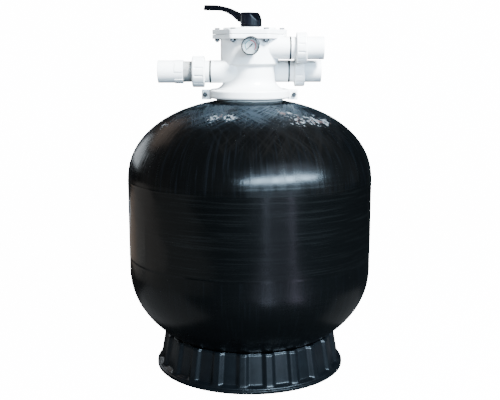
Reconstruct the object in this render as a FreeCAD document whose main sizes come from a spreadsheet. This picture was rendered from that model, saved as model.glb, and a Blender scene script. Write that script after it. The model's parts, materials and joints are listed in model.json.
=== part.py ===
import FreeCAD, Part
import math
import os
import re
import Sketcher

# Sand filter for a pool: a filament-wound tank on a fluted foot, with a six-way valve clamped on top.
# Millimetres. The origin is the middle of the floor under the tank, +Z is up and -Y is the gauge side.

SIZES = {
    # tank
    "tank_radius": 325.0,
    "tank_wall": 6.0,
    "barrel_low": 275.0,
    "barrel_high": 515.0,
    "top_dome_rise": 209.5,
    "bottom_dome_drop": 235.0,
    "dome_power": 2.1,
    "mouth_radius": 84.0,
    # moulded neck and clamp ring
    "neck_low": 702.0,
    "neck_bore": 74.0,
    "neck_face": 735.0,
    "flange_radius": 98.0,
    "flange_thick": 8.0,
    "gasket_thick": 1.5,
    "clamp_radius": 106.0,
    "clamp_low": 724.0,
    "clamp_high": 748.0,
    "clamp_split": 0.8,
    "lug_reach": 126.0,
    "lug_low": 721.0,
    "lug_high": 746.0,
    "lug_thick": 13.0,
    "clamp_bolt_reach": 117.0,
    "clamp_bolt_level": 734.0,
    # foot
    "foot_radius": 255.0,
    "foot_waist": 243.0,
    "foot_top_radius": 231.0,
    "foot_high": 95.0,
    "foot_lip": 9.0,
    "seat_radius": 176.0,
    "seat_high": 73.2,
    "panel_count": 22,
    "panel_half_width": 15.5,
    "panel_slope": 14.0,
    "panel_depth": 6.0,
    "panel_turn": -86.1,
    # under-drain
    "stand_pipe_radius": 25.0,
    "stand_pipe_bore": 22.5,
    "stand_pipe_low": 120.0,
    "stand_pipe_high": 746.0,
    "hub_radius": 45.0,
    "hub_low": 80.0,
    "hub_high": 142.0,
    "lateral_count": 8,
    "lateral_level": 104.0,
    "lateral_radius": 12.0,
    "lateral_spigot": 8.0,
    "lateral_reach": 180.0,
    "lateral_slots": 10,
    # drain
    "drain_level": 150.0,
    "drain_spout_radius": 20.0,
    "drain_thread_radius": 15.0,
    "drain_bore": 10.0,
    "drain_start": 262.0,
    "drain_shoulder": 296.0,
    "drain_end": 310.0,
    # valve body
    "valve_low": 736.5,
    "valve_neck": 66.5,
    "flare_radius": 30.0,
    "flare_level": 778.0,
    "valve_step": 811.0,
    "valve_barrel": 76.0,
    "valve_high": 889.0,
    "ear_low": 878.0,
    "plate_high": 901.5,
    "seat_level": 838.0,
    "upper_chamber": 70.0,
    "lower_chamber": 58.0,
    "hex_circle": 99.5,
    "hex_round": 13.0,
    "disc_radius": 69.0,
    "disc_high": 906.5,
    "bolt_circle": 84.5,
    "bolt_radius": 4.0,
    "bolt_head": 6.5,
    # rotor and handle
    "shaft_radius": 9.0,
    "shaft_bore": 9.05,
    "shaft_high": 925.0,
    "rotor_radius": 60.0,
    "rotor_low": 840.3,
    "rotor_high": 850.0,
    "spring_radius": 20.0,
    "spring_wire": 1.5,
    "spring_high": 886.9,
    "spring_turns": 5,
    "washer_low": 906.8,
    "washer_high": 908.4,
    "handle_low": 908.7,
    "handle_high": 946.0,
    "handle_boss": 27.8,
    "handle_offset": 4.5,
    "handle_turn": 150.0,
    "arm_width": 22.0,
    "pin_level": 914.0,
    "pin_radius": 3.0,
    "pin_length": 52.0,
    # gauge
    "gauge_across": 3.6,
    "gauge_forward": -88.4,
    "gauge_level": 862.8,
    "gauge_dip": 9.0,
    "gauge_yaw": 4.5,
    "gauge_radius": 22.9,
    "gauge_deep": 24.0,
    # unions
    "pipe_offset": 30.0,
    "upper_port": 854.5,
    "lower_port": 794.0,
    "port_radius": 29.0,
    "port_bore": 21.0,
    "union_thread": 34.0,
    "union_nut": 40.0,
    "tail_radius": 29.0,
    "socket_bore": 25.1,
    "socket_deep": 31.0,
    "glass_radius": 26.7,
}

Vector = FreeCAD.Vector
Rotation = FreeCAD.Rotation
Z_UP = Vector(0, 0, 1)
SPRING_SIDES = 12
FLARE_ANGLES = (75, 65, 55, 45, 35, 25, 15, 5, 0)
TOWARDS = {
    "right": Rotation(Vector(0, 1, 0), 90),
    "left": Rotation(Vector(0, 1, 0), -90),
    "rear": Rotation(Vector(1, 0, 0), -90),
}

doc = FreeCAD.newDocument("sand_filter")
nodes = []


def make_sheet():
    sheet = doc.addObject("Spreadsheet::Sheet", "sizes")
    for row, (alias, value) in enumerate(SIZES.items(), start=1):
        sheet.set("A%d" % row, alias)
        sheet.set("B%d" % row, str(value))
        sheet.setAlias("B%d" % row, alias)
    doc.recompute()


def bound(text):
    """The expression with each size's alias pointed at the sheet."""
    words = re.compile("[a-z_]+")
    return words.sub(lambda found: "sizes." + found[0] if found[0] in SIZES else found[0], str(text))


def put(thing, place=("0", "0", "0"), turn=None):
    """Place a thing at three expressions, turned by a fixed rotation."""
    thing.Placement = FreeCAD.Placement(Vector(), turn or Rotation())
    for letter, text in zip("xyz", place):
        thing.setExpression("Placement.Base." + letter, bound(text))
    return thing


def node(thing, name):
    """Name a finished sub-part, so that it is checked and written."""
    thing.Label = name
    nodes.append(thing)
    return thing


def origin_plane(body, role):
    return next(part for part in body.Origin.OriginFeatures if part.Role == role)


def outline_sketch(body, name, role, points):
    """A closed outline of straight sides; each corner is a pair of expressions."""
    sketch = body.newObject("Sketcher::SketchObject", name + "_outline")
    sketch.AttachmentSupport = [(origin_plane(body, role), "")]
    sketch.MapMode = "FlatFace"
    start = [Vector(i + 1, (i + 1) ** 2, 0) for i in range(len(points))]
    for i, corner in enumerate(start):
        sketch.addGeometry(Part.LineSegment(corner, start[(i + 1) % len(start)]))
    for i in range(len(points)):
        sketch.addConstraint(Sketcher.Constraint("Coincident", i, 2, (i + 1) % len(points), 1))
    for i, (across, along) in enumerate(points):
        for kind, value, text in (("DistanceX", start[i].x, across), ("DistanceY", start[i].y, along)):
            number = sketch.addConstraint(Sketcher.Constraint(kind, -1, 1, i, 1, value))
            sketch.setExpression("Constraints[%d]" % number, bound(text))
    return sketch


def round_edges(body, base, name, radius, wanted):
    """Fillet the edges of the body's last feature that wanted(edge) picks."""
    doc.recompute()
    names = ["Edge%d" % i for i, edge in enumerate(base.Shape.Edges, start=1) if wanted(edge)]
    fillet = body.newObject("PartDesign::Fillet", name + "_fillet")
    fillet.Base = (base, names)
    fillet.setExpression("Radius", bound(radius))
    body.Tip = fillet
    return fillet


def turned(name, points, place=("0", "0", "0"), turn=None, rounds=()):
    """A body turned about its own Z from (radius, height) corners. rounds holds (corner number, radius)."""
    body = doc.addObject("PartDesign::Body", name)
    sketch = outline_sketch(body, name, "XZ_Plane", points)
    base = body.newObject("PartDesign::Revolution", name + "_turn")
    base.Profile = sketch
    base.ReferenceAxis = (sketch, ["V_Axis"])
    base.Angle = 360
    body.Tip = base
    doc.recompute()
    corners = [sketch.Geometry[i].StartPoint for i, _ in rounds]
    for (_, radius), corner in zip(rounds, corners):
        base = round_edges(body, base, name, radius, lambda edge: on_ring(edge, corner.x, corner.y))
    return put(body, place, turn)


def on_ring(edge, radius, level):
    """Whether an edge is the full circle of this radius at this height."""
    if not isinstance(edge.Curve, Part.Circle):
        return False
    return abs(edge.Curve.Radius - radius) < 0.01 and abs(edge.Curve.Center.z - level) < 0.01


def ring(name, inner, outer, low, high, **where):
    return turned(name, [(inner, low), (outer, low), (outer, high), (inner, high)], **where)


def primitive(kind, name, place=("0", "0", "0"), turn=None, **sizes):
    """A Part primitive with each size bound to an expression."""
    thing = doc.addObject("Part::" + kind, name)
    for key, text in sizes.items():
        thing.setExpression(key, bound(text))
    return put(thing, place, turn)


def rod(name, radius, length, place=("0", "0", "0"), turn=None):
    return primitive("Cylinder", name, place, turn, Radius=radius, Height=length)


def block(name, length, width, height, place, turn=None):
    return primitive("Box", name, place, turn, Length=length, Width=width, Height=height)


def hexagon(name, circumradius, height, place=("0", "0", "0"), turn=None):
    thing = primitive("Prism", name, place, turn, Circumradius=circumradius, Height=height)
    thing.Polygon = 6
    return thing


def fused(name, parts):
    thing = doc.addObject("Part::MultiFuse", name)
    thing.Shapes = parts
    thing.Refine = True
    return thing


def grouped(name, parts):
    """Separate solids kept apart in one node."""
    thing = doc.addObject("Part::Compound", name)
    thing.Links = parts
    return thing


def cut(name, base, tools):
    thing = doc.addObject("Part::Cut", name)
    thing.Base = base
    thing.Tool = tools[0] if len(tools) == 1 else grouped(name + "_tools", tools)
    return thing


def common(name, first, second):
    thing = doc.addObject("Part::Common", name)
    thing.Base = first
    thing.Tool = second
    return thing


def around(count, start=0.0):
    return [start + 360.0 * i / count for i in range(count)]


def spoke_place(reach, angle, level):
    """Expressions for a point at this reach and angle, at this height."""
    return ("(%s) * cos(%s deg)" % (reach, angle), "(%s) * sin(%s deg)" % (reach, angle), level)


# ---- tank ----


def dome_points(radius, rise, level, steps=14, from_radius=0.0):
    """Points on a superellipse dome, from its rim to from_radius. A negative rise hangs it down."""
    power = SIZES["dome_power"]
    last = math.acos(min(1.0, (from_radius / radius) ** (power / 2)))
    points = []
    for i in range(steps + 1):
        angle = last * i / steps
        reach = radius * max(math.cos(angle), 0.0) ** (2 / power)
        height = abs(rise) * math.sin(angle) ** (2 / power)
        points.append(Vector(0 if reach < 1e-6 else reach, 0, level + math.copysign(height, rise)))
    return points


def smooth(points):
    curve = Part.BSplineCurve()
    curve.interpolate(points)
    return curve.toShape()


def shell_section():
    """Half of the tank wall's section, in the XZ plane."""
    wall, mouth = SIZES["tank_wall"], SIZES["mouth_radius"]
    low, high = SIZES["barrel_low"], SIZES["barrel_high"]
    rise, drop = SIZES["top_dome_rise"], SIZES["bottom_dome_drop"]
    edges, ends = [], []
    for inset in (0.0, wall):
        radius = SIZES["tank_radius"] - inset
        top = dome_points(radius, rise - inset, high, from_radius=mouth)
        bottom = dome_points(radius, inset - drop, low)
        edges += [smooth(top), Part.makeLine(top[0], bottom[0]), smooth(bottom)]
        ends.append((top[-1], bottom[-1]))
    edges += [Part.makeLine(ends[0][0], ends[1][0]), Part.makeLine(ends[0][1], ends[1][1])]
    return Part.Face(Part.Wire(Part.__sortEdges__(edges)))


def tank_shell():
    wall = doc.addObject("Part::Feature", "shell_wall")
    wall.Shape = Part.Solid(shell_section().revolve(Vector(), Z_UP, 360))
    hole = rod("drain_hole", "drain_spout_radius", "100", ("0", "drain_start - 20", "drain_level"), TOWARDS["rear"])
    node(cut("tank_shell", wall, [hole]), "tank_shell")


def tank_neck():
    points = [
        ("neck_bore", "neck_low"),
        ("mouth_radius", "neck_low"),
        ("mouth_radius", "neck_face - 16.2"),
        ("mouth_radius + 4", "neck_face - 16.2"),
        ("mouth_radius + 4", "neck_face - flange_thick"),
        ("flange_radius", "neck_face - flange_thick"),
        ("flange_radius", "neck_face"),
        ("neck_bore", "neck_face"),
    ]
    node(turned("tank_neck", points), "tank_neck_flange")
    seal = ring("tank_gasket", "neck_bore + 4", "flange_radius - 2", "neck_face", "neck_face + gasket_thick")
    node(seal, "tank_seal")


def clamp_halves():
    section = [
        ("flange_radius - 8", "clamp_low"),
        ("clamp_radius", "clamp_low"),
        ("clamp_radius", "clamp_high"),
        ("flange_radius - 8", "clamp_high"),
        ("flange_radius - 8", "neck_face + gasket_thick + flange_thick + 0.2"),
        ("flange_radius + 0.3", "neck_face + gasket_thick + flange_thick + 0.2"),
        ("flange_radius + 0.3", "neck_face - flange_thick - 0.2"),
        ("flange_radius - 8", "neck_face - flange_thick - 0.2"),
    ]
    for name, side in (("clamp_front", -1), ("clamp_rear", 1)):
        band = turned(name + "_band", section, rounds=[(1, "6"), (2, "6")])
        start = "clamp_split" if side > 0 else "-lug_thick - clamp_split"
        far = "clamp_split" if side > 0 else "-clamp_radius - 10 - clamp_split"
        keep = block(name + "_half", "3 * clamp_radius", "clamp_radius + 10", "40",
                     ("-1.5 * clamp_radius", far, "clamp_low - 5"))
        pieces = [common(name + "_arc", band, keep)]
        tools = []
        for hand in (-1, 1):
            inner = "clamp_radius - 5" if hand > 0 else "-lug_reach"
            pieces.append(block("%s_lug_%d" % (name, hand + 1), "lug_reach - clamp_radius + 5", "lug_thick",
                                "lug_high - lug_low", (inner, start, "lug_low")))
            tools.append(rod("%s_hole_%d" % (name, hand + 1), "bolt_radius + 0.2", "60",
                             ("%d * clamp_bolt_reach" % hand, "-30", "clamp_bolt_level"), TOWARDS["rear"]))
        node(cut(name, fused(name + "_whole", pieces), tools), name)


def clamp_fasteners():
    bolts, nuts = [], []
    for hand in (-1, 1):
        at = "%d * clamp_bolt_reach" % hand
        name = "clamp_bolt_%d" % (hand + 1)
        head = hexagon(name + "_head", "bolt_head", "5",
                       (at, "-lug_thick - clamp_split - 5", "clamp_bolt_level"), TOWARDS["rear"])
        shank = rod(name + "_shank", "bolt_radius", "2 * lug_thick + 2 * clamp_split + 13",
                    (at, "-lug_thick - clamp_split - 1", "clamp_bolt_level"), TOWARDS["rear"])
        bolts.append(fused(name, [head, shank]))
        nut = hexagon(name + "_nut", "bolt_head + 0.8", "6.5",
                      (at, "lug_thick + clamp_split", "clamp_bolt_level"), TOWARDS["rear"])
        bore = rod(name + "_thread", "bolt_radius + 0.05", "20",
                   (at, "lug_thick", "clamp_bolt_level"), TOWARDS["rear"])
        nuts.append(cut(name + "_nut_cut", nut, [bore]))
    node(grouped("clamp_bolts", bolts), "clamp_bolts")
    node(grouped("clamp_nuts", nuts), "clamp_nuts")


# ---- foot ----


def foot_base():
    points = [
        ("foot_radius", "0"),
        ("foot_radius", "foot_lip"),
        ("foot_waist + 3", "foot_lip + 4"),
        ("foot_waist", "30"),
        ("foot_waist - 9", "80"),
        ("foot_top_radius", "foot_high"),
        ("foot_top_radius - 9", "foot_high"),
        ("foot_waist - 18", "80"),
        ("foot_waist - 16.5", "seat_high - 7"),
        ("seat_radius + 5", "seat_high - 7"),
        ("seat_radius + 5", "seat_high"),
        ("seat_radius", "seat_high"),
        ("seat_radius", "seat_high - 13"),
        ("foot_waist - 15", "seat_high - 13"),
        ("foot_waist - 9", "30"),
        ("foot_waist - 9", "0"),
    ]
    skirt = turned("foot_skirt", points)
    node(cut("foot_base", skirt, panels()), "foot_base")


def panels():
    """Tapered wedges that sink the foot's flat panels and leave the narrow upright ribs between them."""
    low, high = SIZES["foot_lip"] + 6, SIZES["foot_high"] + 4
    lean = (SIZES["foot_waist"] + 3 - SIZES["foot_top_radius"]) / (SIZES["foot_high"] - SIZES["foot_lip"] - 4)
    half, depth = SIZES["panel_half_width"], SIZES["panel_depth"]
    spread = half + SIZES["panel_slope"] * (depth + 1) / depth
    wedges = []
    for number, angle in enumerate(around(SIZES["panel_count"], SIZES["panel_turn"])):
        wires = []
        for level in (low, high):
            outer = SIZES["foot_waist"] + 3 - lean * (level - SIZES["foot_lip"] - 4)
            inner = outer - depth
            corners = [(inner, -half), (inner, half), (outer + 1, spread), (outer + 1, -spread), (inner, -half)]
            wires.append(Part.makePolygon([Vector(x, y, level) for x, y in corners]))
        wedge = doc.addObject("Part::Feature", "panel_%02d" % number)
        wedge.Shape = Part.makeLoft(wires, True, True)
        wedge.Placement = FreeCAD.Placement(Vector(), Rotation(Z_UP, angle))
        wedges.append(wedge)
    return wedges


# ---- under-drain ----


def under_drain():
    pipe = ring("stand_tube", "stand_pipe_bore", "stand_pipe_radius", "stand_pipe_low", "stand_pipe_high")
    node(pipe, "standpipe")
    points = [
        ("0", "hub_low"),
        ("hub_radius", "hub_low"),
        ("hub_radius", "hub_high"),
        ("stand_pipe_radius + 0.05", "hub_high"),
        ("stand_pipe_radius + 0.05", "stand_pipe_low"),
        ("stand_pipe_bore - 1.5", "stand_pipe_low"),
        ("stand_pipe_bore - 1.5", "hub_low + 8"),
        ("0", "hub_low + 8"),
    ]
    hub = turned("hub_body", points)
    sockets = []
    for number, angle in enumerate(around(SIZES["lateral_count"]), start=1):
        outwards = Rotation(Z_UP, Vector(math.cos(math.radians(angle)), math.sin(math.radians(angle)), 0))
        sockets.append(rod("lateral_socket_%d" % number, "lateral_spigot + 0.05", "hub_radius",
                           spoke_place("15", angle, "lateral_level"), outwards))
        node(lateral(number, outwards), "lateral_%d" % number)
    node(cut("lateral_hub", hub, sockets), "lateral_hub")


def lateral(number, outwards):
    """A slotted collector tube, closed at its outer end, with a spigot that plugs into the hub."""
    points = [
        ("lateral_spigot - 2", "hub_radius - 15"),
        ("lateral_spigot", "hub_radius - 15"),
        ("lateral_spigot", "hub_radius + 0.2"),
        ("lateral_radius", "hub_radius + 0.2"),
    ]
    for i in range(SIZES["lateral_slots"]):
        for radius, along in (("", 0), (" - 1.2", 0), (" - 1.2", 2), ("", 2)):
            points.append(("lateral_radius" + radius, "hub_radius + %d" % (10 + 12 * i + along)))
    points += [
        ("lateral_radius", "lateral_reach"),
        ("0", "lateral_reach"),
        ("0", "lateral_reach - 3"),
        ("lateral_spigot - 2", "lateral_reach - 3"),
    ]
    return turned("lateral_tube_%d" % number, points, ("0", "0", "lateral_level"), outwards)


def top_diffuser():
    points = [
        ("stand_pipe_radius + 0.4", "neck_low - 36"),
        ("62", "neck_low - 36"),
        ("62", "neck_low"),
        ("neck_bore - 0.1", "neck_low"),
        ("neck_bore - 0.1", "neck_low + 4"),
        ("58", "neck_low + 4"),
        ("58", "neck_low - 32"),
        ("stand_pipe_radius + 0.4", "neck_low - 32"),
    ]
    basket = turned("diffuser_basket", points)
    windows = []
    for number, angle in enumerate((0, 45, 90, 135)):
        windows.append(block("diffuser_window_%d" % number, "160", "18", "22",
                             ("-80 * cos(%d deg) + 9 * sin(%d deg)" % (angle, angle),
                              "-80 * sin(%d deg) - 9 * cos(%d deg)" % (angle, angle), "neck_low - 27"),
                             Rotation(Z_UP, angle)))
    node(cut("top_diffuser", basket, windows), "top_diffuser")


def drain():
    """A spout low on the back of the tank with a hand-turned cap."""
    where = {"place": ("0", "0", "drain_level"), "turn": TOWARDS["rear"]}
    spout = [
        ("drain_bore", "drain_start"),
        ("drain_spout_radius", "drain_start"),
        ("drain_spout_radius", "drain_shoulder"),
        ("drain_thread_radius", "drain_shoulder"),
        ("drain_thread_radius", "drain_end"),
        ("drain_bore", "drain_end"),
    ]
    node(turned("drain_tube", spout, **where), "drain_spout")
    node(ring("drain_washer", "drain_bore", "drain_thread_radius - 0.6", "drain_end", "drain_end + 2", **where),
         "drain_gasket")
    cap = [
        ("0", "drain_end + 2.3"),
        ("drain_thread_radius + 0.05", "drain_end + 2.3"),
        ("drain_thread_radius + 0.05", "drain_shoulder + 0.4"),
        ("drain_spout_radius + 1", "drain_shoulder + 0.4"),
        ("drain_spout_radius + 1", "drain_end + 8"),
        ("0", "drain_end + 8"),
    ]
    body = turned("drain_cap_body", cap, rounds=[(4, "2")], **where)
    grips = []
    for number, angle in enumerate(around(12)):
        grips.append(rod("drain_grip_%d" % number, "2", "30",
                         ("(drain_spout_radius + 1.8) * cos(%s deg)" % angle, "drain_shoulder - 3",
                          "drain_level + (drain_spout_radius + 1.8) * sin(%s deg)" % angle), TOWARDS["rear"]))
    node(cut("drain_cap", body, grips), "drain_cap")


# ---- valve ----


def ear_plate(name, low, thick):
    """A hexagonal plate with rounded corners, one corner over each bolt."""
    body = doc.addObject("PartDesign::Body", name)
    prism = body.newObject("PartDesign::AdditivePrism", name + "_prism")
    prism.Polygon = 6
    prism.setExpression("Circumradius", bound("hex_circle"))
    prism.setExpression("Height", bound(thick))
    body.Tip = prism

    def upright(edge):
        ends = [vertex.Point for vertex in edge.Vertexes]
        return len(ends) == 2 and abs(ends[0].z - ends[1].z) > 1

    round_edges(body, prism, name, "hex_round", upright)
    return put(body, ("0", "0", low))


def bolt_holes(name, radius):
    return [rod("%s_%d" % (name, number), radius, "80", spoke_place("bolt_circle", angle, "valve_high - 40"))
            for number, angle in enumerate(around(6))]


def port_rod(name, side, radius, length, start, level, across):
    """A cylinder along a port's axis, from start outwards to the right (1) or the left (-1)."""
    turn = TOWARDS["right"] if side > 0 else TOWARDS["left"]
    return rod(name, radius, length, ("%d * (%s)" % (side, start), across, level), turn)


PORTS = {
    # side, across, height, end of the valve's stub, end of the threads' shoulder, end of the tail
    "pump": (1, "-pipe_offset", "upper_port", 104.0, 121.0, 192.0),
    "return": (1, "pipe_offset", "lower_port", 103.0, 119.0, 190.0),
    "waste": (-1, "-pipe_offset", "lower_port", 100.5, 117.0, 237.7),
}


def gauge_direction():
    """The way the dial looks: towards -Y, a little down and a little to the left."""
    dip, yaw = math.radians(SIZES["gauge_dip"]), math.radians(SIZES["gauge_yaw"])
    return Vector(-math.sin(yaw) * math.cos(dip), -math.cos(yaw) * math.cos(dip), -math.sin(dip))


def gauge_turn():
    outwards = gauge_direction()
    across = Z_UP.cross(outwards)
    return Rotation(across, outwards.cross(across), outwards, "ZXY")


def gauge_place(along):
    """Expressions for the point this far along the gauge's axis from the back of its case."""
    way = gauge_direction()
    return tuple("%s + %.6f" % (alias, part * along) for alias, part in
                 (("gauge_across", way.x), ("gauge_forward", way.y), ("gauge_level", way.z)))


def valve_body():
    outside = [
        ("0", "valve_low"),
        ("flange_radius", "valve_low"),
        ("flange_radius", "valve_low + flange_thick"),
        ("flange_radius - 9", "valve_low + flange_thick"),
    ]
    for angle in FLARE_ANGLES:
        outside.append(("valve_neck + flare_radius * (1 - cos(%s deg))" % angle,
                        "flare_level - flare_radius * sin(%s deg)" % angle))
    outside += [
        ("valve_neck", "valve_step - 3"),
        ("valve_barrel", "valve_step + 3"),
        ("valve_barrel", "ear_low + 1"),
        ("0", "ear_low + 1"),
    ]
    pieces = [turned("valve_outside", outside),
              ear_plate("valve_ears", "ear_low", "valve_high - ear_low")]
    tools = bolt_holes("valve_bolt_hole", "bolt_radius + 0.2")
    tools.append(rod("upper_room", "upper_chamber", "valve_high - seat_level + 1", ("0", "0", "seat_level")))
    tools.append(rod("lower_room", "lower_chamber", "seat_level - valve_low - 17", ("0", "0", "valve_low + 11")))
    tools.append(rod("pipe_seat", "stand_pipe_radius + 0.05", "30", ("0", "0", "valve_low - 5")))
    for name, (side, across, level, stub, _, _) in PORTS.items():
        pieces.append(port_rod(name + "_stub", side, "port_radius", "%s - 25" % stub, "25", level, across))
        tools.append(port_rod(name + "_way", side, "port_bore", "%s" % stub, "46", level, across))
    for number, angle in enumerate(around(6, 30)):
        tools.append(rod("seat_window_%d" % number, "12", "30", spoke_place("42", angle, "seat_level - 15")))
    for number, angle in enumerate(around(4, 45)):
        tools.append(rod("floor_window_%d" % number, "11", "30", spoke_place("42", angle, "valve_low - 5")))
    pieces.append(rod("gauge_boss", "12", "26", gauge_place(-34), gauge_turn()))
    tools.append(rod("gauge_tap", "5", "60", gauge_place(-40), gauge_turn()))
    node(cut("valve_body", fused("valve_solid", pieces), tools), "valve_body")


def valve_lid():
    disc = [
        ("0", "plate_high - 1"),
        ("disc_radius", "plate_high - 1"),
        ("disc_radius", "disc_high"),
        ("0", "disc_high"),
    ]
    pieces = [ear_plate("lid_plate", "valve_high + 0.5", "plate_high - valve_high - 0.5"),
              turned("lid_disc", disc, rounds=[(2, "2")])]
    tools = bolt_holes("lid_bolt_hole", "bolt_radius + 0.2")
    tools.append(rod("lid_bore", "shaft_bore", "60", ("0", "0", "valve_high - 20")))
    tools.append(ring("seal_groove", "shaft_radius", "shaft_radius + 3.6", "plate_high - 8", "plate_high - 4"))
    node(cut("valve_lid", fused("lid_solid", pieces), tools), "valve_lid")
    node(ring("lid_gasket", "upper_chamber + 0.5", "upper_chamber + 5.5", "valve_high", "valve_high + 0.5"), "lid_seal")
    torus = primitive("Torus", "shaft_o_ring", ("0", "0", "plate_high - 6"),
                      Radius1="shaft_radius + 1.9", Radius2="1.55")
    node(torus, "shaft_seal")


def lid_fasteners():
    bolts, nuts = [], []
    for number, angle in enumerate(around(6)):
        name = "lid_bolt_%d" % number
        head = hexagon(name + "_head", "bolt_head", "4.5", spoke_place("bolt_circle", angle, "plate_high"))
        shank = rod(name + "_shank", "bolt_radius", "plate_high - ear_low + 10",
                    spoke_place("bolt_circle", angle, "ear_low - 9"))
        bolts.append(fused(name, [head, shank]))
        nut = hexagon(name + "_nut", "bolt_head + 0.5", "6", spoke_place("bolt_circle", angle, "ear_low - 6"))
        bore = rod(name + "_thread", "bolt_radius + 0.05", "20", spoke_place("bolt_circle", angle, "ear_low - 12"))
        nuts.append(cut(name + "_nut_cut", nut, [bore]))
    node(grouped("lid_bolts", bolts), "lid_bolts")
    node(grouped("lid_nuts", nuts), "lid_nuts")


def spider_gasket():
    rim = ring("spider_rim", "56", "62", "seat_level", "seat_level + 2")
    middle = ring("spider_middle", "20", "25", "seat_level", "seat_level + 2")
    parts = [rim, middle]
    for number, angle in enumerate(around(6)):
        parts.append(block("spider_arm_%d" % number, "36", "4", "2",
                           ("22 * cos(%s deg) + 2 * sin(%s deg)" % (angle, angle),
                            "22 * sin(%s deg) - 2 * cos(%s deg)" % (angle, angle), "seat_level"),
                           Rotation(Z_UP, angle)))
    node(fused("spider_seal", parts), "spider_gasket")


# ---- rotor, spring and handle ----


def arm_turn():
    return Rotation(Z_UP, SIZES["handle_turn"])


def pin_turn():
    """Turns +Z to the pin's direction, level and square to the arm."""
    angle = math.radians(SIZES["handle_turn"] - 90)
    return Rotation(Z_UP, Vector(math.cos(angle), math.sin(angle), 0))


def pin_rod(name, radius, length):
    angle = SIZES["handle_turn"] - 90
    return rod(name, radius, length, ("-(%s) / 2 * cos(%s deg)" % (length, angle),
                                      "-(%s) / 2 * sin(%s deg)" % (length, angle), "pin_level"), pin_turn())


def rotor():
    points = [
        ("0", "rotor_low"),
        ("rotor_radius", "rotor_low"),
        ("rotor_radius", "rotor_high"),
        ("shaft_radius + 4", "rotor_high"),
        ("shaft_radius + 4", "rotor_high + 6"),
        ("shaft_radius", "rotor_high + 6"),
        ("shaft_radius", "shaft_high"),
        ("0", "shaft_high"),
    ]
    windows = [rod("rotor_window_%d" % number, "12", "40", spoke_place("42", angle, "rotor_low - 10"))
               for number, angle in enumerate((30, 150, 210))]
    windows.append(pin_rod("rotor_pin_hole", "pin_radius + 0.05", "60"))
    node(cut("rotor", turned("rotor_body", points), windows), "rotor")
    node(pin_rod("handle_pin", "pin_radius", "pin_length"), "handle_pin")


def spring():
    """A coil spring between the rotor and the washer under the lid. Its wire has flat sides."""
    section = []
    for angle in around(SPRING_SIDES, 15):
        section.append(("spring_radius + spring_wire * cos(%s deg)" % angle,
                        "rotor_high + spring_wire + 0.1 + spring_wire * sin(%s deg)" % angle))
    body = doc.addObject("PartDesign::Body", "spring_body")
    sketch = outline_sketch(body, "spring_section", "XZ_Plane", section)
    coil = body.newObject("PartDesign::AdditiveHelix", "spring_coil")
    coil.Profile = sketch
    coil.ReferenceAxis = (sketch, ["V_Axis"])
    coil.Mode = "pitch-height-angle"
    rise = "spring_high - rotor_high - 2 * spring_wire - 0.1"
    coil.setExpression("Pitch", bound("(%s) / spring_turns" % rise))
    coil.setExpression("Height", bound(rise))
    body.Tip = coil
    node(body, "rotor_spring")
    node(ring("spring_plate", "shaft_radius + 0.4", "spring_radius + 6", "spring_high", "valve_high + 0.5"),
         "spring_washer")
    node(ring("handle_plate", "shaft_radius + 0.4", "handle_boss - 2", "washer_low", "washer_high"), "handle_washer")


def handle():
    """A round boss over the shaft and a curved arm; a slot in the boss lets it rock on the pin."""
    arm_outline = [
        ("10", "handle_high - 24"),
        ("28", "handle_high - 25"),
        ("36", "handle_high - 18.6"),
        ("50", "handle_high - 7.6"),
        ("65.5", "handle_high"),
        ("81", "handle_high + 4.4"),
        ("101", "handle_high + 6.4"),
        ("137", "handle_high + 7.4"),
        ("134", "handle_high + 22"),
        ("101", "handle_high + 20.7"),
        ("85", "handle_high + 17.7"),
        ("65.5", "handle_high + 13"),
        ("46", "handle_high + 5.5"),
        ("30", "handle_high - 1.3"),
        ("10", "handle_high - 1"),
    ]
    body = doc.addObject("PartDesign::Body", "handle_arm")
    sketch = outline_sketch(body, "handle_arm", "XZ_Plane", arm_outline)
    pad = body.newObject("PartDesign::Pad", "handle_arm_pad")
    pad.Profile = sketch
    pad.Midplane = True
    pad.setExpression("Length", bound("arm_width"))
    body.Tip = pad
    put(body, turn=arm_turn())
    turn = SIZES["handle_turn"]
    boss_at = spoke_place("-handle_offset", turn, "0")
    boss = turned("handle_boss_body", [("0", "handle_low"), ("handle_boss", "handle_low"),
                                       ("handle_boss", "handle_high"), ("0", "handle_high")],
                  boss_at, rounds=[(2, "3")])
    tools = [
        slab("handle_back_slope", -14.0, "handle_high", 128.0, turn),
        slab("handle_cam_slope", 18.0, "handle_low", -25.0, turn),
        slot("handle_slot", "shaft_high + 5", turn),
        pin_rod("handle_pin_hole", "pin_radius + 0.05", "90"),
    ]
    node(cut("handle", fused("handle_solid", [boss, body]), tools), "handle")


def slab(name, along, level, lean, turn):
    """A large block whose top face starts at a line across the arm and leans by this angle, to cut a slope."""
    size = 80
    tilt = Rotation(Z_UP, turn).multiply(Rotation(Vector(0, 1, 0), lean))
    corner = tilt.multVec(Vector(0, -size / 2, -size))
    angle = math.radians(turn)
    place = ("%.4f" % (along * math.cos(angle) + corner.x), "%.4f" % (along * math.sin(angle) + corner.y),
             "%s + %.4f" % (level, corner.z))
    return block(name, str(size), str(size), str(size), place, tilt)


def slot(name, top, turn):
    """The pocket in the boss around the shaft: close at its sides, long in the direction of the arm."""
    corner = Rotation(Z_UP, turn).multVec(Vector(-17, -9.4, 0))
    return block(name, "34", "18.8", "%s - handle_low + 5" % top,
                 ("%.4f" % corner.x, "%.4f" % corner.y, "handle_low - 5"), Rotation(Z_UP, turn))


# ---- gauge ----


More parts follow.
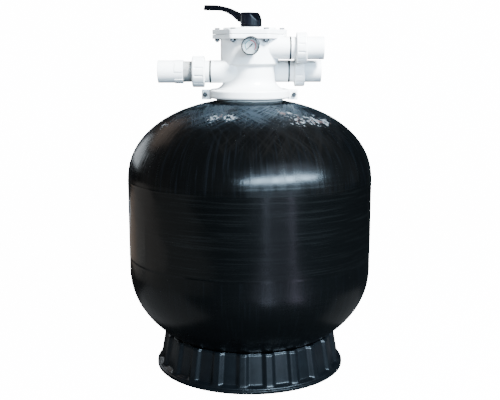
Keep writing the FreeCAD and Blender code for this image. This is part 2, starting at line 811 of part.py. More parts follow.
def gauge():
    where = {"place": gauge_place(0), "turn": gauge_turn()}
    inner = "gauge_radius - 2.3"
    case = [
        ("0", "0"),
        ("gauge_radius - 0.7", "0"),
        ("gauge_radius - 0.7", "gauge_deep"),
        (inner, "gauge_deep"),
        (inner, "5"),
        ("0", "5"),
    ]
    node(turned("gauge_cup", case, rounds=[(1, "2")], **where), "gauge_case")
    bezel = [
        ("gauge_radius - 0.6", "gauge_deep - 5"),
        ("gauge_radius", "gauge_deep - 5"),
        ("gauge_radius", "gauge_deep + 1.5"),
        ("gauge_radius - 3", "gauge_deep + 1.5"),
        ("gauge_radius - 3", "gauge_deep + 0.1"),
        ("gauge_radius - 0.6", "gauge_deep + 0.1"),
    ]
    node(turned("gauge_rim", bezel, rounds=[(2, "1")], **where), "gauge_bezel")
    dial = [
        ("0", "5"),
        (inner, "5"),
        (inner, "gauge_deep - 6"),
        ("0.8", "gauge_deep - 6"),
        ("0.8", "gauge_deep - 3.2"),
        ("0", "gauge_deep - 3.2"),
    ]
    node(turned("gauge_face", dial, **where), "gauge_dial")
    node(rod("gauge_window", inner, "1.6", gauge_place(SIZES["gauge_deep"] - 1.7), gauge_turn()), "gauge_lens")
    node(rod("gauge_shank", "4.95", "14", gauge_place(-14), gauge_turn()), "gauge_stem")
    needle()


def needle():
    """A flat pointer with a broad tail, resting at the start of the scale, low on the left."""
    body = doc.addObject("PartDesign::Body", "needle_body")
    points = [("-15", "-0.35"), ("2", "-1.3"), ("8", "-1.6"), ("8", "1.6"), ("2", "1.3"), ("-15", "0.35")]
    sketch = outline_sketch(body, "needle_body", "XY_Plane", points)
    pad = body.newObject("PartDesign::Pad", "needle_pad")
    pad.Profile = sketch
    pad.Length = 0.8
    body.Tip = pad
    level = SIZES["gauge_deep"] - 5.2
    put(body, gauge_place(level), gauge_turn().multiply(Rotation(Z_UP, 45)))
    hub = rod("needle_hub", "2.4", "1.4", gauge_place(level), gauge_turn())
    bore = rod("needle_bore", "0.85", "6", gauge_place(level - 2), gauge_turn())
    node(cut("needle_cut", fused("needle_solid", [body, hub]), [bore]), "gauge_needle")


# ---- unions ----


def union_parts(name):
    side, across, level, stub, shoulder, end = PORTS[name]
    turn = TOWARDS["right"] if side > 0 else TOWARDS["left"]
    where = {"place": ("0", across, level), "turn": turn}
    face = shoulder + 14.0
    node(ring(name + "_o_ring", "port_bore", "port_radius - 3", str(stub), "%s + 2.5" % stub, **where),
         name + "_port_ring")
    adapter = [
        ("port_bore", "%s + 2.5" % stub),
        ("port_radius - 0.5", "%s + 2.5" % stub),
        ("port_radius - 0.5", "%s - 2" % shoulder),
        ("union_thread", str(shoulder)),
        ("union_thread", str(face)),
        ("port_bore", str(face)),
    ]
    node(turned(name + "_adapter_body", adapter, **where), name + "_adapter")
    node(ring(name + "_gasket", "port_bore + 3", "union_thread - 2", str(face), "%s + 1.5" % face, **where),
         name + "_union_seal")
    tail_radius = "glass_radius" if name == "waste" else "tail_radius"
    nut_end = shoulder + (31.6 if name == "waste" else 27.0)
    node(union_nut(name, where, shoulder, face, nut_end, tail_radius), name + "_union_nut")
    flange = [
        ("union_thread - 0.4", "%s + 1.5" % face),
        ("union_thread - 0.4", "%s + 6" % face),
        (tail_radius, "%s + 6" % face),
    ]
    if name == "waste":
        glass = [("port_bore", "%s + 1.5" % face)] + flange
        glass += [("glass_radius", "%s - 57.7" % end), ("port_bore", "%s - 57.7" % end)]
        node(turned("sight_tube", glass, **where), "waste_sight_glass")
        node(waste_socket(where, end), "waste_socket")
        return
    tail = [("port_bore", "%s + 1.5" % face)] + flange + [
        ("tail_radius", str(end)),
        ("socket_bore", str(end)),
        ("socket_bore", "%s - socket_deep" % end),
        ("port_bore", "%s - socket_deep" % end),
    ]
    node(turned(name + "_tail_body", tail, rounds=[(4, "1")], **where), name + "_tail")


def union_nut(name, where, shoulder, face, nut_end, tail_radius):
    points = [
        ("union_thread + 0.06", "%s + 0.3" % shoulder),
        ("union_nut", "%s + 0.3" % shoulder),
        ("union_nut", str(nut_end)),
        (tail_radius + " + 0.4", str(nut_end)),
        (tail_radius + " + 0.4", "%s + 6.3" % face),
        ("union_thread + 0.06", "%s + 6.3" % face),
    ]
    body = turned(name + "_nut_body", points, rounds=[(2, "4")], **where)
    side, across, level = PORTS[name][:3]
    notches = []
    for number, angle in enumerate(around(12, 15)):
        notches.append(port_rod("%s_notch_%d" % (name, number), side, "3.4", "%s - %s" % (nut_end - 6, shoulder + 3),
                                str(shoulder + 3), "%s + (union_nut + 1.8) * sin(%s deg)" % (level, angle),
                                "%s + (union_nut + 1.8) * cos(%s deg)" % (across, angle)))
    return cut(name + "_nut_cut", body, notches)


def waste_socket(where, end):
    """The socket glued over the sight glass, with raised grip pads at its inner end."""
    start = end - 66.0
    points = [
        ("glass_radius + 0.05", str(start)),
        ("tail_radius", str(start)),
        ("tail_radius", str(end)),
        ("socket_bore", str(end)),
        ("socket_bore", "%s - socket_deep" % end),
        ("port_bore", "%s - socket_deep" % end),
        ("port_bore", str(start + 8.5)),
        ("glass_radius + 0.05", str(start + 8.5)),
    ]
    body = turned("socket_body", points, rounds=[(2, "1")], **where)
    pads = [body]
    for number, angle in enumerate(around(4)):
        pad = primitive("Cylinder", "socket_pad_%d" % number,
                        ("-%s" % start, "-pipe_offset", "lower_port"),
                        TOWARDS["left"].multiply(Rotation(Z_UP, angle)),
                        Radius="tail_radius + 1.3", Height="22", Angle="50")
        hollow = port_rod("socket_pad_bore_%d" % number, -1, "tail_radius - 0.5", "30", str(start - 2),
                          "lower_port", "-pipe_offset")
        pads.append(cut("socket_grip_%d" % number, pad, [hollow]))
    return fused("socket_solid", pads)


def check_document():
    doc.recompute()
    for thing in doc.Objects:
        if {"Invalid", "Error"} & set(thing.State):
            raise RuntimeError("%s did not rebuild: %s" % (thing.Name, thing.State))
    for thing in nodes:
        if thing.Shape.isNull() or not thing.Shape.isValid() or not thing.Shape.Solids:
            raise RuntimeError("%s has no sound solid" % thing.Label)


def write_parts():
    os.makedirs("parts", exist_ok=True)
    for thing in nodes:
        thing.Shape.exportStep("parts/%s.step" % thing.Label)
        print("%-20s %2d solids %12.1f mm3" % (thing.Label, len(thing.Shape.Solids), thing.Shape.Volume))


make_sheet()
tank_shell()
tank_neck()
clamp_halves()
clamp_fasteners()
foot_base()
under_drain()
top_diffuser()
drain()
valve_body()
valve_lid()
lid_fasteners()
spider_gasket()
rotor()
spring()
handle()
gauge()
for port in PORTS:
    union_parts(port)
check_document()
write_parts()
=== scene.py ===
import json
import math

import bmesh
import bpy
from mathutils import Matrix, Vector

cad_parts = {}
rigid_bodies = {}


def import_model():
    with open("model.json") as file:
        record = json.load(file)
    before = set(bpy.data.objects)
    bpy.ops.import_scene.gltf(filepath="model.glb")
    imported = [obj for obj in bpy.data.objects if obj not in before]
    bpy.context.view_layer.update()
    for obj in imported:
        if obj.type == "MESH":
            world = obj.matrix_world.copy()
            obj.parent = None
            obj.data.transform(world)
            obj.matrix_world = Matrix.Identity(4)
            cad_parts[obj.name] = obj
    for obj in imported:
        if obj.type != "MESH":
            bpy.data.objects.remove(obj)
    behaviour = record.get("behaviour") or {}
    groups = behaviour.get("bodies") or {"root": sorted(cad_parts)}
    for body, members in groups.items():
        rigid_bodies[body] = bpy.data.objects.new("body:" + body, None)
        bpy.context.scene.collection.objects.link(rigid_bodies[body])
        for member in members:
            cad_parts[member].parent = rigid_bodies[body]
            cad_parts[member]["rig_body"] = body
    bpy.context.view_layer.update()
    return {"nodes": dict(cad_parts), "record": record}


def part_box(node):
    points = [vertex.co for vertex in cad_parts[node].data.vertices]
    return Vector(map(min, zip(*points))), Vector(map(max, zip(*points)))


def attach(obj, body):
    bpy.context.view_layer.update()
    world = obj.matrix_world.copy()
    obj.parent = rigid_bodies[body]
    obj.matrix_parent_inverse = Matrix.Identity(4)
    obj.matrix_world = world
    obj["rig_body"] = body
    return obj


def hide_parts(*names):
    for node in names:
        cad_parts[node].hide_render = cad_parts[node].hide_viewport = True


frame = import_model()
NODES = frame["nodes"]

# Sizes in metres, in the frame of the CAD model.
TANK_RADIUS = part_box("tank_shell")[1].x
MOUTH_RADIUS = 0.084
BARREL_LOW = 0.275
BARREL_HIGH = 0.515
TOP_RISE = 0.2095
BOTTOM_DROP = 0.235
DOME_POWER = 2.1
WALL = 0.006
BAND_LOW = 0.306
BAND_HIGH = 0.512
OVERLAP_HIGH = 0.528
BAND_EDGE = 0.0060
OVERLAP_EDGE = 0.0050
TANK_COLUMNS = 288
FOOT_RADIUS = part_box("foot_base")[1].x
FOOT_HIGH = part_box("foot_base")[1].z
PANEL_COUNT = 22
PANEL_TURN = math.radians(-86.1)
PANEL_DEPTH = 0.0075
PANEL_COLUMNS = 40
PANEL_REACH = 0.243

# The gauge's axis, the way its dial looks, and the middle of the back of its case.
GAUGE_DIP = math.radians(9.0)
GAUGE_YAW = math.radians(4.5)
GAUGE_BACK = Vector((0.0036, -0.0884, 0.8628))
GAUGE_OUT = Vector((
    -math.sin(GAUGE_YAW) * math.cos(GAUGE_DIP),
    -math.cos(GAUGE_YAW) * math.cos(GAUGE_DIP),
    -math.sin(GAUGE_DIP),
))
GAUGE_RIGHT = Vector((0, 0, 1)).cross(GAUGE_OUT).normalized()
GAUGE_UP = GAUGE_OUT.cross(GAUGE_RIGHT)

SEAL_OUTSIDE = 0.0300
SEAL_INSIDE = 0.0222
SEAL_SQUEEZE = 0.0009
SEAL_COLUMNS = 96

# Radiances: the floor's own glow and the world as the eye sees them, and the world in reflections.
FLOOR_GLOW = 15.0
WORLD_SEEN = 18.0
WORLD_DIM = 0.07

# The lights for the white plastic shine on these alone. Gloss doesn't mirror them.
PALE = bpy.data.collections.new("pale_plastic")
PALE_SLOTS = ("moulded_white", "sight_glass", "gauge_brass", "dial_white")


# ---- node graphs ----


class Graph:
    """A material's node tree, built by calls that return output sockets."""

    def __init__(self, name):
        self.material = bpy.data.materials.new(name)
        self.material.use_nodes = True
        self.tree = self.material.node_tree
        self.shader = self.tree.nodes["Principled BSDF"]

    def add(self, kind, output=0, props=None, **inputs):
        node = self.tree.nodes.new("ShaderNode" + kind)
        for key, value in (props or {}).items():
            setattr(node, key, value)
        for key, value in inputs.items():
            self.feed(node, int(key[1:]) if key[0] == "i" and key[1:].isdigit() else key, value)
        return node.outputs[output]

    def feed(self, node, key, value):
        socket = node.inputs[key]
        if isinstance(value, bpy.types.NodeSocket):
            self.tree.links.new(value, socket)
        else:
            socket.default_value = value

    def math(self, operation, first, second=0.0):
        return self.add("Math", props={"operation": operation}, i0=first, i1=second)

    def product(self, first, *factors):
        for factor in factors:
            first = self.math("MULTIPLY", first, factor)
        return first

    def total(self, first, *terms):
        for term in terms:
            first = self.math("ADD", first, term)
        return first

    def vector(self, operation, first, second=(0, 0, 0), output=0):
        return self.add("VectorMath", output, {"operation": operation}, i0=first, i1=second)

    def smooth(self, value, low, high, start=0.0, end=1.0):
        """start below low and end above high, with a smooth step between."""
        props = {"interpolation_type": "SMOOTHSTEP"}
        return self.add("MapRange", props=props, i0=value, i1=low, i2=high, i3=start, i4=end)

    def position(self):
        return self.add("TexCoord", output="Object")

    def split(self, vector):
        node = self.tree.nodes.new("ShaderNodeSeparateXYZ")
        self.tree.links.new(vector, node.inputs[0])
        return node.outputs[0], node.outputs[1], node.outputs[2]

    def join(self, x, y, z):
        return self.add("CombineXYZ", i0=x, i1=y, i2=z)

    def noise(self, vector, scale, detail=3.0, roughness=0.55):
        return self.add("TexNoise", Vector=vector, Scale=scale, Detail=detail, Roughness=roughness)

    def mix(self, factor, first, second):
        """Between two colours."""
        node = self.tree.nodes.new("ShaderNodeMix")
        node.data_type = "RGBA"
        self.feed(node, 0, factor)
        self.feed(node, 6, first)
        self.feed(node, 7, second)
        return node.outputs[2]

    def bump(self, height, strength, distance, normal=None):
        inputs = {"Height": height, "Strength": strength, "Distance": distance}
        if normal is not None:
            inputs["Normal"] = normal
        return self.add("Bump", **inputs)

    def set(self, **values):
        for key, value in values.items():
            self.feed(self.shader, key.replace("_", " "), value)
        return self.material


def rgb(red, green, blue):
    return (red, green, blue, 1.0)


# The wound shell's colours: bare resin, dust near the neck with a painted bluish sheen on it,
# fibre showing through with a painted warm reflection, strokes on the shoulders, hoops on the
# barrel, the far end of the hatch, and worn flecks, chalky or rusty.
RESIN = rgb(0.0036, 0.0037, 0.0035)
DUST_AND_SHEEN = rgb(0.235, 0.290, 0.335)
FIBRE_AND_WARM_REFLECTION = rgb(0.030, 0.021, 0.016)
STROKE = rgb(0.022, 0.025, 0.030)
HOOP = rgb(0.013, 0.013, 0.012)
FAR_HATCH = rgb(0.035, 0.038, 0.040)
CHALK = rgb(0.90, 0.87, 0.85)
RUST = rgb(0.46, 0.26, 0.21)

COARSE_STRANDS = 15.0
FINE_STRANDS = 42.0
STRAND_LENGTH = 0.8
LOG_BASE = 2.718


def polar(graph):
    """Unit direction around the tank, the distance from its axis, the height and the angle."""
    x, y, z = graph.split(graph.position())
    radius = graph.math("SQRT", graph.total(graph.product(x, x), graph.product(y, y)))
    safe = graph.math("MAXIMUM", radius, 0.001)
    around = graph.math("DIVIDE", x, safe), graph.math("DIVIDE", y, safe)
    return around, radius, z, graph.math("ARCTAN2", y, x)


# Scuffed places on the crown: middle, reach along each axis.
SCUFFS = (
    ((-0.084, -0.178, 0.686), (0.020, 0.022, 0.012)),
    ((-0.048, -0.185, 0.688), (0.017, 0.020, 0.010)),
    ((0.088, -0.150, 0.692), (0.016, 0.016, 0.012)),
    ((0.122, -0.172, 0.679), (0.020, 0.024, 0.012)),
    ((0.158, -0.142, 0.676), (0.024, 0.024, 0.013)),
    ((0.190, -0.118, 0.672), (0.016, 0.022, 0.010)),
    ((-0.215, -0.100, 0.662), (0.014, 0.018, 0.007)),
    ((0.060, 0.190, 0.686), (0.030, 0.022, 0.012)),
    ((-0.150, 0.130, 0.684), (0.022, 0.024, 0.012)),
)


def near_points(graph, spots):
    """1 in the middle of any of the spots, falling to 0 a little past their reach."""
    nearest = None
    for middle, size in spots:
        off = graph.vector("SUBTRACT", graph.position(), middle)
        share = graph.vector("LENGTH", graph.vector("DIVIDE", off, size), output="Value")
        nearest = share if nearest is None else graph.math("MINIMUM", nearest, share)
    return graph.smooth(nearest, 0.2, 2.3, 1.0, 0.0)


def around_noise(graph, around, z, spread, rise, scale, detail, roughness=0.55):
    """Noise on the tank. spread makes it finer around the axis, and rise makes it finer upwards."""
    x, y = around
    place = graph.join(graph.product(x, spread), graph.product(y, spread), graph.product(z, rise))
    return graph.noise(place, scale, detail, roughness)


def strands(graph, turn, along, fineness, low, high):
    """Irregular thin lines of constant turn, broken up along their length."""
    place = graph.join(
        graph.product(graph.math("COSINE", turn), fineness),
        graph.product(graph.math("SINE", turn), fineness),
        graph.product(along, STRAND_LENGTH),
    )
    return graph.smooth(graph.noise(place, 1.0, 3.0, 0.7), low, high)


def crossing_strands(graph, radius, angle):
    """Strands on spirals of both hands, coarse and fine, as a band is wound over the domes."""
    spiral = graph.math("LOGARITHM", graph.math("MAXIMUM", radius, 0.02), LOG_BASE)
    coarse, fine = [], []
    for hand in (1.0, -1.0):
        lean = graph.product(spiral, hand)
        turn = graph.total(angle, lean)
        along = graph.math("SUBTRACT", angle, lean)
        coarse.append(strands(graph, turn, along, COARSE_STRANDS, 0.50, 0.58))
        fine.append(strands(graph, turn, along, FINE_STRANDS, 0.53, 0.60))
    coarse_share = graph.product(graph.math("MAXIMUM", *coarse), 0.45)
    return graph.total(coarse_share, graph.product(graph.math("MAXIMUM", *fine), 0.55))


def wound_fibre():
    """Glossy black resin on wound glass fibre: hoops on the barrel, crossing bands on the domes."""
    graph = Graph("wound_fibre")
    around, radius, z, angle = polar(graph)
    place = graph.position()
    # level strands on the barrel, and short strokes that run down the shoulders
    hoops = around_noise(graph, around, z, 1.0, 190.0, 1.6, 4.0, 0.7)
    broad_hoops = around_noise(graph, around, z, 1.0, 55.0, 1.1, 2.0)
    uprights = around_noise(graph, around, z, 62.0, 11.0, 1.0, 1.5, 0.5)
    fingers = around_noise(graph, around, z, 16.0, 5.0, 1.0, 3.0, 0.6)
    crossing = crossing_strands(graph, radius, angle)
    # where each of them shows
    below_band_top = graph.smooth(z, 0.508, 0.520, 1.0, 0.0)
    on_barrel = graph.product(below_band_top, graph.smooth(z, 0.300, 0.312))
    off_barrel = graph.math("SUBTRACT", 1.0, on_barrel)
    on_top = graph.smooth(z, 0.50, 0.53)
    out_from_neck = graph.smooth(radius, 0.17, 0.26)
    less_below = graph.smooth(z, 0.25, 0.50, 0.35, 1.0)
    on_shoulder = graph.product(off_barrel, out_from_neck, less_below)
    near_neck = graph.product(graph.smooth(radius, 0.160, 0.250, 1.0, 0.0), on_top)
    past_neck = graph.product(graph.smooth(radius, 0.22, 0.31, 1.0, 0.0), on_top)
    hatch = graph.product(crossing, past_neck)
    # dusty haze where the resin is thin near the neck, partly a painted bluish sheen; none right
    # under the clamp, as a painted shadow
    cloud = graph.smooth(graph.noise(place, 11.0, 4.0, 0.6), 0.34, 0.66, 0.15, 1.0)
    patch = graph.product(cloud, graph.smooth(crossing, 0.05, 0.60, 0.22, 1.0))
    # The step on radius clears the haze right under the clamp: a painted shadow of the clamp.
    haze = graph.product(patch, near_neck, graph.smooth(radius, 0.108, 0.130))
    colour = graph.mix(graph.product(haze, 0.9), RESIN, DUST_AND_SHEEN)
    # a faint warm tint on the upper dome: fibre showing through, and a painted warm reflection
    tint = graph.smooth(graph.noise(place, 5.0, 3.0), 0.42, 0.70)
    warm = graph.product(tint, graph.smooth(radius, 0.14, 0.22), on_top)
    warm = graph.product(warm, graph.smooth(crossing, 0.0, 0.8, 0.25, 1.0), 0.5)
    colour = graph.mix(warm, colour, FIBRE_AND_WARM_REFLECTION)
    # paler strands
    streak = graph.product(graph.smooth(uprights, 0.50, 0.75), on_shoulder, 0.30)
    colour = graph.mix(streak, colour, STROKE)
    level = graph.product(graph.smooth(hoops, 0.50, 0.66), on_barrel, 0.7)
    colour = graph.mix(level, colour, HOOP)
    colour = graph.mix(graph.product(hatch, 0.22), colour, FAR_HATCH)
    # worn flecks on the crown
    scuffed = near_points(graph, SCUFFS)
    chance = graph.total(graph.noise(place, 95.0, 5.0, 0.75), graph.product(scuffed, 0.17))
    worn = graph.product(graph.smooth(chance, 0.655, 0.70), graph.smooth(scuffed, 0.0, 0.15))
    rusty = graph.smooth(graph.noise(place, 60.0, 2.0), 0.50, 0.62)
    colour = graph.mix(worn, colour, graph.mix(rusty, CHALK, RUST))
    # gloss: duller along the shoulders, at the bottom, and where it is dusty or worn
    drag = around_noise(graph, around, z, 1.0, 60.0, 3.0, 3.0)
    rough = graph.total(
        graph.smooth(drag, 0.3, 0.7, 0.160, 0.195),
        graph.smooth(z, 0.22, 0.31, 0.10, 0.0),
        graph.product(graph.smooth(fingers, 0.35, 0.70, 0.02, 0.10), on_shoulder),
        graph.product(graph.math("MAXIMUM", haze, worn), 0.28),
    )
    # fine relief of the strands, over the slower waves of the winding
    height = graph.total(
        graph.product(hoops, graph.product(on_barrel, 0.5)),
        graph.product(uprights, graph.product(on_shoulder, 0.8)),
        graph.product(hatch, 0.5),
        graph.product(worn, 0.6),
    )
    fine_bump = graph.bump(height, 0.26, 0.0009)
    wave = graph.total(
        graph.product(broad_hoops, graph.product(on_barrel, 0.12)),
        graph.product(fingers, graph.product(on_shoulder, 0.4)),
    )
    graph.set(Base_Color=colour, Roughness=rough, Normal=graph.bump(wave, 0.5, 0.0030, fine_bump))
    return graph.set(Specular_IOR_Level=0.5)


def moulded(name, colour, shade, low, high, grain=900.0, bump=0.08, coat=0.0, subsurface=0.0,
            gloss=0.5):
    """Moulded plastic: faint mottling, a fine skin, and a roughness between low and high."""
    graph = Graph(name)
    place = graph.position()
    mottle = graph.noise(place, 22.0, 4.0)
    skin = graph.noise(place, grain, 3.0)
    flow = graph.noise(place, 60.0, 3.0)
    graph.set(
        Base_Color=graph.mix(graph.smooth(mottle, 0.35, 0.7), colour, shade),
        Roughness=graph.smooth(flow, 0.3, 0.7, low, high),
        Normal=graph.bump(skin, bump, 0.0004),
    )
    if subsurface:
        reach = (0.004, 0.004, 0.005)
        graph.set(Subsurface_Weight=subsurface, Subsurface_Radius=reach, Subsurface_Scale=0.5)
    return graph.set(Coat_Weight=coat, Coat_Roughness=0.08, Specular_IOR_Level=gloss)


def metal(name, colour, low, high, scratch=1.0):
    """Metal with fine random scratches that change its gloss."""
    graph = Graph(name)
    place = graph.position()
    scratches = graph.noise(graph.vector("MULTIPLY", place, (40, 300, 900)), 1.0, 5.0)
    cloud = graph.noise(place, 120.0, 3.0)
    darker = rgb(*[c * 0.75 for c in colour[:3]])
    graph.set(
        Base_Color=graph.mix(graph.smooth(cloud, 0.3, 0.75), colour, darker),
        Roughness=graph.smooth(scratches, 0.3, 0.7, low, high),
        Normal=graph.bump(scratches, 0.1 * scratch, 0.0002),
    )
    return graph.set(Metallic=1.0)


def rubber(name):
    """Black rubber with dust on it."""
    graph = Graph(name)
    place = graph.position()
    dust = graph.noise(place, 90.0, 4.0)
    clean, dusty = rgb(0.008, 0.008, 0.010), rgb(0.03, 0.03, 0.033)
    graph.set(
        Base_Color=graph.mix(graph.smooth(dust, 0.45, 0.8), clean, dusty),
        Roughness=graph.smooth(dust, 0.3, 0.7, 0.45, 0.65),
        Normal=graph.bump(graph.noise(place, 1200.0), 0.1, 0.0003),
    )
    return graph.material


def clear(name, colour, roughness, ior, wave, alpha):
    """Clear glass with a slight waviness. An alpha below 1 lets light through to what is behind."""
    graph = Graph(name)
    ripple = graph.noise(graph.position(), wave, 2.0)
    graph.set(Normal=graph.bump(ripple, 0.15, 0.0006))
    graph.set(Base_Color=colour, Roughness=roughness, IOR=ior)
    return graph.set(Transmission_Weight=1.0, Alpha=alpha)


def smoked(name, colour, paler):
    """Smoke-grey clear plastic, aged cloudy from inside."""
    graph = Graph(name)
    cloud = graph.noise(graph.position(), 55.0, 4.0, 0.6)
    graph.set(
        Base_Color=graph.mix(graph.smooth(cloud, 0.35, 0.7), colour, paler),
        Roughness=graph.smooth(cloud, 0.3, 0.7, 0.12, 0.2),
    )
    graph.set(Normal=graph.bump(graph.noise(graph.position(), 90.0, 2.0), 0.15, 0.0006))
    return graph.set(IOR=1.45, Transmission_Weight=0.35)


def ink(name, colour):
    """Printed ink, a little uneven."""
    graph = Graph(name)
    spread = graph.noise(graph.position(), 1500.0, 2.0)
    darker = rgb(*[c * 0.8 for c in colour[:3]])
    return graph.set(Base_Color=graph.mix(spread, colour, darker), Roughness=0.5)


MATERIALS = {
    "tank_black": wound_fibre(),
    "moulded_black": moulded("moulded_black", rgb(0.0062, 0.0076, 0.0092),
                             rgb(0.0086, 0.0104, 0.0125), 0.29, 0.32, grain=700, bump=0.03),
    "moulded_white": moulded("moulded_white", rgb(0.80, 0.815, 0.825), rgb(0.755, 0.775, 0.79),
                             0.30, 0.42, grain=900, bump=0.06, coat=0.15, subsurface=0.06),
    "inner_plastic": moulded("inner_plastic", rgb(0.72, 0.72, 0.70), rgb(0.66, 0.66, 0.64),
                             0.4, 0.55),
    "handle_gloss": moulded("handle_gloss", rgb(0.004, 0.0045, 0.007), rgb(0.007, 0.0075, 0.011),
                            0.18, 0.24, grain=500, bump=0.03, gloss=0.2),
    "seal_rubber": rubber("seal_rubber"),
    "steel": metal("plain_steel", rgb(0.30, 0.30, 0.31), 0.16, 0.30),
    "gauge_steel": metal("gauge_steel", rgb(0.42, 0.42, 0.42), 0.20, 0.34, 0.6),
    "gauge_brass": metal("gauge_brass", rgb(0.65, 0.46, 0.20), 0.25, 0.4),
    "dial_white": ink("dial_white", rgb(0.78, 0.84, 0.86)),
    "needle_black": ink("needle_black", rgb(0.01, 0.01, 0.012)),
    "gauge_glass": clear("gauge_glass", rgb(1, 1, 1), 0.02, 1.1, 30.0, 0.3),
    "sight_glass": smoked("sight_plastic", rgb(0.24, 0.25, 0.25), rgb(0.40, 0.41, 0.41)),
}
DIAL_GREEN = ink("dial_green", rgb(0.02, 0.30, 0.30))
DIAL_RED = ink("dial_red", rgb(0.75, 0.05, 0.06))


def make_pale(thing, slot):
    """Let the lights for the white plastic reach it, if its slot is one of theirs."""
    if slot in PALE_SLOTS:
        PALE.objects.link(thing)
        thing.visible_glossy = False


def dress_nodes():
    """Give each CAD node the material of its slot in the record."""
    for entry in frame["record"]["subparts"]:
        thing = NODES[entry["node"]]
        thing.data.materials.clear()
        thing.data.materials.append(MATERIALS[entry["material_slot"]])
        make_pale(thing, entry["material_slot"])


# ---- mesh helpers ----


def piece(name, mesh_data, slot, body="root", stands_for=(), material=None):
    """Link a mesh as a piece that rides on a body and takes a slot's material."""
    thing = bpy.data.objects.new(name, mesh_data)
    bpy.context.scene.collection.objects.link(thing)
    mesh_data.materials.clear()
    mesh_data.materials.append(material or MATERIALS[slot])
    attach(thing, body)
    make_pale(thing, slot)
    if stands_for:
        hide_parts(*stands_for)
    return thing


def smooth_shaded(data):
    data.polygons.foreach_set("use_smooth", [True] * len(data.polygons))
    return data


def lathe(name, rings, columns, radius_at):
    """A closed tube of (radius, height) rings, shaped by radius_at(radius, height, angle, ring)."""
    graph = bmesh.new()
    table = []
    for number, (radius, height) in enumerate(rings):
        if radius < 1e-6:
            table.append([graph.verts.new((0, 0, height))] * columns)
            continue
        row = []
        for column in range(columns):
            angle = 2 * math.pi * column / columns
            reach = radius_at(radius, height, angle, number)
            row.append(graph.verts.new((reach * math.cos(angle), reach * math.sin(angle), height)))
        table.append(row)
    for number in range(len(table)):
        first, second = table[number], table[(number + 1) % len(table)]
        if first[0] is first[1] and second[0] is second[1]:
            continue
        for column in range(columns):
            after = (column + 1) % columns
            corners = [first[column], first[after], second[after], second[column]]
            unique = list(dict.fromkeys(corners))
            graph.faces.new(unique)
    bmesh.ops.recalc_face_normals(graph, faces=graph.faces)
    data = bpy.data.meshes.new(name)
    graph.to_mesh(data)
    graph.free()
    return smooth_shaded(data)


def softened(node, voxel, passes):
    """A copy of a CAD node with its edges eased as a mould leaves them, to stand for it."""
    source = NODES[node]
    copy = bpy.data.objects.new(node + "_moulded", source.data.copy())
    bpy.context.scene.collection.objects.link(copy)
    remesh = copy.modifiers.new("remesh", "REMESH")
    remesh.mode = "VOXEL"
    remesh.voxel_size = voxel
    relax = copy.modifiers.new("relax", "SMOOTH")
    relax.factor = 0.5
    relax.iterations = passes
    seen = copy.evaluated_get(bpy.context.evaluated_depsgraph_get())
    data = bpy.data.meshes.new_from_object(seen)
    bpy.data.objects.remove(copy)
    slot = next(e["material_slot"] for e in frame["record"]["subparts"] if e["node"] == node)
    return piece(node + "_moulded", smooth_shaded(data), slot, source["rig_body"], (node,))


def step(value, low, high):
    """0 below low and 1 above high, with a smooth step between."""
    share = min(max((value - low) / (high - low), 0.0), 1.0)
    return share * share * (3 - 2 * share)


# ---- tank ----


def dome_rings(radius, rise, level, inner_radius, count):
    """Rings of a superellipse dome from its rim to inner_radius. A negative rise hangs it down."""
    last = math.acos(min(1.0, (inner_radius / radius) ** (DOME_POWER / 2)))
    rings = []
    for number in range(count + 1):
        angle = last * number / count
        reach = radius * max(math.cos(angle), 0.0) ** (2 / DOME_POWER)
        height = abs(rise) * math.sin(angle) ** (2 / DOME_POWER)
        rings.append((0.0 if reach < 1e-5 else reach, level + math.copysign(height, rise)))
    return rings


def tank():
    """The wound shell: the hoop band stands about half a millimetre proud and its edges wander."""
    top = dome_rings(TANK_RADIUS, TOP_RISE, BARREL_HIGH, MOUTH_RADIUS, 150)
    bottom = dome_rings(TANK_RADIUS, -BOTTOM_DROP, BARREL_LOW, 0.0, 110)
    steps = 240
    rise = (BARREL_HIGH - BARREL_LOW) / steps
    barrel = [(TANK_RADIUS, BARREL_HIGH - rise * number) for number in range(1, steps)]
    outside = top[::-1] + barrel + bottom
    inner_top = dome_rings(TANK_RADIUS - WALL, TOP_RISE - WALL, BARREL_HIGH, MOUTH_RADIUS, 40)
    inner_bottom = dome_rings(TANK_RADIUS - WALL, WALL - BOTTOM_DROP, BARREL_LOW, 0.0, 40)
    rings = outside + inner_bottom[::-1] + inner_top

    def wound(radius, height, angle, number):
        if number >= len(outside) or radius < MOUTH_RADIUS + 0.002:
            return radius
        wander = 0.0010 * math.sin(3 * angle + 1.0) + 0.0007 * math.sin(7 * angle + 2.0)
        low = step(height, BAND_LOW + wander, BAND_LOW + BAND_EDGE + wander)
        high = step(height, BAND_HIGH + wander, BAND_HIGH + BAND_EDGE + wander)
        ridge = step(height, OVERLAP_HIGH - wander, OVERLAP_HIGH + OVERLAP_EDGE - wander)
        drop = 0.0004 * (1 - low) + 0.0004 * high + 0.00025 * ridge
        ripple = 0.00022 * math.sin(11 * angle + 40 * height) * math.sin(5 * angle - 23 * height)
        return radius - drop - abs(ripple)

    data = lathe("tank_wound_shell", rings, TANK_COLUMNS, wound)
    piece("tank_wound_shell", data, "tank_black", stands_for=("tank_shell",))


# ---- foot ----


